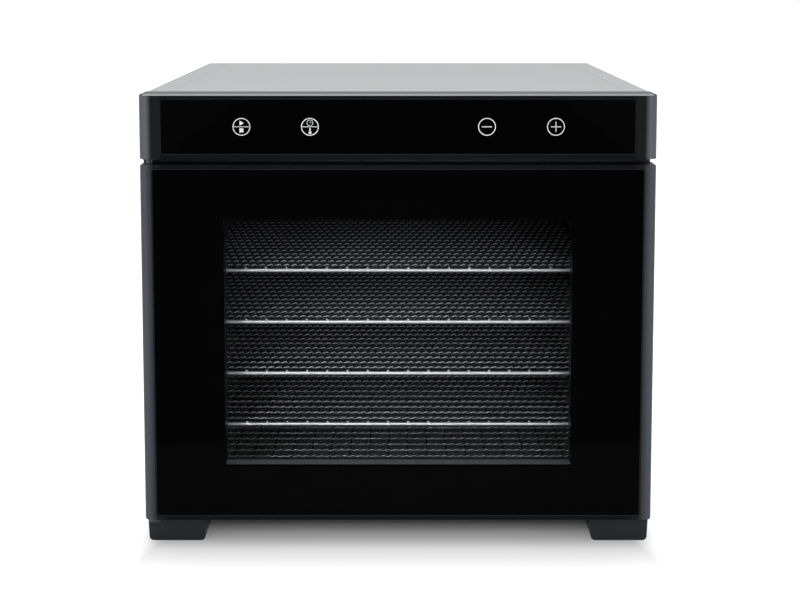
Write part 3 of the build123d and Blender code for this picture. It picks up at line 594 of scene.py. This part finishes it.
tray_low, tray_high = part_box("tray_1")
level = tray_low.z + rod
side = tray_high.x - rod
front = tray_low.y + rod
back = tray_high.y - rod
bend_side = side - corner
bend_front = front + corner
bend_back = back - corner
tray = bmesh.new()
end = wire_start(tray, (0, front, level), rod, sides=12, closed=False)
for way, centre in (
    ((bend_side, 0, 0), (bend_side, bend_front, level)),
    ((0, bend_back - bend_front, 0), (bend_side, bend_back, level)),
    ((-2 * bend_side, 0, 0), (-bend_side, bend_back, level)),
    ((0, bend_front - bend_back, 0), (-bend_side, bend_front, level)),
):
    end = turn(tray, run(tray, end, way), centre)
run(tray, end, (bend_side, 0, 0))
bmesh.ops.remove_doubles(tray, verts=tray.verts, dist=0.00001)

net_half = side - net_gap
net_count = int(2 * net_half / net_pitch)
net_start = -net_count * net_pitch / 2
net_level = level + rod + crimp
long_level = net_level - long_wire - fine_wire
cross_level = level + cross_rise
row_pitch = (back - front) / net_rows
net = bmesh.new()
for number in range(cross_count):
    x = (number - (cross_count - 1) / 2) * cross_pitch
    straight_wire(net, (x, front, cross_level), (x, back, cross_level), cross_wire, sides=8)
    for y in (front - weld_out, back + weld_out):
        bead = Matrix.Translation((x, y, level + weld_rise))
        bmesh.ops.create_icosphere(tray, subdivisions=2, radius=weld, matrix=bead)
for number in range(net_count):
    x = net_start + (number + 0.5) * net_pitch
    past_bend = max(0.0, abs(x) - bend_side)
    inset = corner - math.sqrt(corner**2 - past_bend**2)
    straight_wire(net, (x, front + inset, long_level), (x, back - inset, long_level), long_wire, sides=5)
for number in range(1, net_rows * fine_rows):
    y = front + number * row_pitch / fine_rows
    straight_wire(net, (-net_half, y, net_level), (net_half, y, net_level), fine_wire, sides=6)

weft = bmesh.new()
crimped_wire(weft, (net_start, front + row_pitch / 2, net_level - crimp), waves=(net_count - 1) // 2)
first_row = weft.verts[:] + weft.edges[:] + weft.faces[:]
for row in range(1, net_rows):
    copied = bmesh.ops.duplicate(weft, geom=first_row)["geom"]
    shift = (row % 2 * net_pitch, row * row_pitch, 0)
    bmesh.ops.translate(weft, verts=only(bmesh.types.BMVert, copied), vec=shift)
weft_mesh = bpy.data.meshes.new("weft")
weft.to_mesh(weft_mesh)
weft.free()
tray.from_mesh(weft_mesh)
bpy.data.meshes.remove(weft_mesh)

for wires, name, finish in ((tray, "woven_tray", wire_steel), (net, "tray_net", shaded_net_wire)):
    bmesh.ops.recalc_face_normals(wires, faces=wires.faces)
    for face in wires.faces:
        face.smooth = True
    for number in range(1, 7):
        lifted = wires.copy()
        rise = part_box(f"tray_{number}")[0].z - tray_low.z
        bmesh.ops.translate(lifted, verts=lifted.verts, vec=(0, 0, rise))
        piece = new_piece(lifted, f"{name}_{number}", finish, f"sliding_tray_{number}")
        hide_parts(f"tray_{number}")
    wires.free()


# Drip tray: a shallow pan under the trays, to catch crumbs and drops.
# It is pressed from stainless sheet, brushed from front to back, and slides on the cavity's floor.
drip_steel = surface(
    "drip_steel", (0.78, 0.80, 0.83), change=0.08, spots=400, roughness=0.6, depth=0.00001,
    stretch=(1, 0.03, 1), Metallic=0.25,
)
coat(drip_steel, "drip_tray")


# Screws: pan-head screws hold the rear panel inside its rim and the inner panel on the door.
# Each is of plated steel, with a cross recess in its head.
head_radius = 0.0036
head_wall = 0.7
head_crown = 0.82
recess = 0.0022
recess_half = 0.00045
recess_depth = 0.6


def screw_head(bm, centre, height):
    """A low round head with a cross sunk in it, facing the rear."""
    place = Matrix.Translation(centre) @ Matrix.Rotation(math.radians(-90), 4, "X")
    foot = bmesh.ops.create_circle(bm, segments=24, radius=head_radius, cap_ends=True, matrix=place)["verts"]
    wall = run(bm, ring_edges(foot), (0, head_wall * height, 0))
    crown = run(bm, wall, (0, (1 - head_wall) * height, 0))
    crown_verts = list(dict.fromkeys(vert for edge in crown for vert in edge.verts))
    about = Matrix.Translation(-Vector(centre))
    bmesh.ops.scale(bm, verts=crown_verts, vec=(head_crown, 1, head_crown), space=about)
    lip = []
    for quarter in range(4):
        turned = place @ Matrix.Rotation(math.radians(-90 * quarter), 4, "Z")
        for x, y in ((recess, recess_half), (recess, -recess_half), (recess_half, -recess_half)):
            lip.append(bm.verts.new(turned @ Vector((x, y, height))))
    lip_edges = [bm.edges.new((lip[number - 1], lip[number])) for number in range(len(lip))]
    bmesh.ops.bridge_loops(bm, edges=crown + lip_edges)
    bmesh.ops.edgeloop_fill(bm, edges=run(bm, lip_edges, (0, -recess_depth * height, 0)))


def screw_heads(name, panel, body, side_inset, foot_inset, top_inset, height):
    """Three heads along each side of a panel, on its rear face."""
    low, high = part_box(panel)
    heads = bmesh.new()
    for x in (low.x + side_inset, high.x - side_inset):
        for z in (low.z + foot_inset, (low.z + high.z) / 2, high.z - top_inset):
            screw_head(heads, (x, high.y, z), height)
    bmesh.ops.recalc_face_normals(heads, faces=heads.faces)
    new_piece(heads, name, plated, body)


screw_heads(
    "rear_screw_heads", "rear_panel", "cabinet",
    side_inset=0.006, foot_inset=0.016, top_inset=0.024, height=0.0014,
)
screw_heads(
    "door_screw_heads", "door_inner_panel", "door",
    side_inset=0.014, foot_inset=0.009, top_inset=0.009, height=0.0008,
)


# Floor: a wide sheet of card that keeps the shadow between and round the feet, and glows white to the camera.
# Its glow fades out towards the object: a painted shadow in front of, behind and beside it. A hand's breadth
# away from the object it is burnt out to white.
# Straight in front it isn't mirrored, so that the dark front stays dark.
floor_size = 12
shadow_start = 0.062
shadow_length = 0.160
side_start = 0.02
side_length = 0.035
dull_front = 0.5


def rays(finish):
    """1 for a ray of its own kind: from the camera, mirrored, and through glass."""
    kinds = ("Camera", "Glossy", "Transmission")
    return [finish.node("LightPath", {}, {}, f"Is {kind} Ray") for kind in kinds]


card = surface(
    "card", (0.42, 0.42, 0.42), change=0.01, spots=40, roughness=0.9, depth=0.00001,
    Specular_IOR_Level=0.0, Emission_Strength=1.0,
)
along, behind, _ = card.axes()
# The glow ramps from none at the footprint to full beyond it: a painted shadow round the object.
beside = (abs(along) - (cad_box[1].x - side_start)) * (1 / side_length)
before = (abs(behind) - (cad_box[1].y - shadow_start)) * (1 / shadow_length)
glow_past_painted_shadow = card.node("Clamp", {}, {0: beside.highest(before)})
dull = (behind < -dull_front) * (abs(along) < dull_front)
from_camera, mirrored, through_glass = rays(card)
seen = (from_camera + mirrored * (1 - dull)).highest(through_glass)
card.feed("Emission Color", card.blend(seen * glow_past_painted_shadow, (0, 0, 0), (1, 1, 1)))
sheet = bmesh.new()
bmesh.ops.create_grid(sheet, x_segments=1, y_segments=1, size=floor_size)
mesh = bpy.data.meshes.new("floor")
sheet.to_mesh(mesh)
sheet.free()
mesh.materials.append(card.owner)
floor = bpy.data.objects.new("floor", mesh)
bpy.context.scene.collection.objects.link(floor)


# Light: a white room, two large soft boxes above and in front, a tall one on each side for the edges,
# and two narrow lamps into the window.
room_light = 0.55
seen_light = 1.0
lamp_beam = 9.6
lamp_blend = 0.3
lamp_radius = 0.12
window_middle = (0, -0.20, 0.135)
world = bpy.data.worlds.new("studio")
bpy.context.scene.world = world
room = Finish(world, "Background", Color=(1, 1, 1, 1))
from_camera, mirrored, through_glass = rays(room)
seen = room.node(
    "Math", {"operation": "ADD", "use_clamp": True}, {0: from_camera, 1: mirrored + through_glass}
)
room.feed("Strength", seen * (seen_light - room_light) + room_light)


def hang(lamp, place, target):
    """Put a lamp at its place, turned to its target."""
    holder = bpy.data.objects.new(lamp.name, lamp)
    holder.location = place
    holder.rotation_euler = (Vector(target) - Vector(place)).to_track_quat("-Z", "Y").to_euler()
    bpy.context.scene.collection.objects.link(holder)


def soft_box(name, place, target, width, height, watts):
    """A large even light behind white cloth."""
    lamp = bpy.data.lights.new(name, "AREA")
    lamp.shape = "RECTANGLE"
    lamp.size = width
    lamp.size_y = height
    lamp.energy = watts
    hang(lamp, place, target)


def narrow_lamp(name, place, watts):
    """A lamp whose beam falls through the window and hardly past it."""
    lamp = bpy.data.lights.new(name, "SPOT")
    lamp.energy = watts
    lamp.spot_size = math.radians(lamp_beam)
    lamp.spot_blend = lamp_blend
    lamp.shadow_soft_size = lamp_radius
    hang(lamp, place, window_middle)


soft_box("overhead", (0, 0.1, 2.2), (0, 0, 0), width=2.4, height=2.4, watts=20)
soft_box("front_top", (0, -1.7, 2.0), (0, 0, 0.1), width=1.8, height=1.0, watts=12)
for x in (-1.3, 1.3):
    soft_box("edge_light", (x, -1.15, 0.35), (0, 0, 0.2), width=0.5, height=0.9, watts=6)
narrow_lamp("window_lamp", (-0.54, -2.07, 0.92), watts=64)
narrow_lamp("low_lamp", (0.24, -2.10, 0.47), watts=35)


# Camera: a long lens in front of the door and above the top, tilted down a little.
# The shift brings the object up in the frame, with its front nearly upright.
camera_place = (0.0013, -1.45, 0.3808)
camera_tilt = 6.90
camera = bpy.data.cameras.new("camera")
camera.lens = 84.5
camera.shift_y = -0.1193
viewer = bpy.data.objects.new("camera", camera)
viewer.location = camera_place
viewer.rotation_euler = (math.radians(90 - camera_tilt), 0, 0)
bpy.context.scene.collection.objects.link(viewer)
bpy.context.scene.camera = viewer
bpy.context.scene.view_settings.view_transform = "Standard"
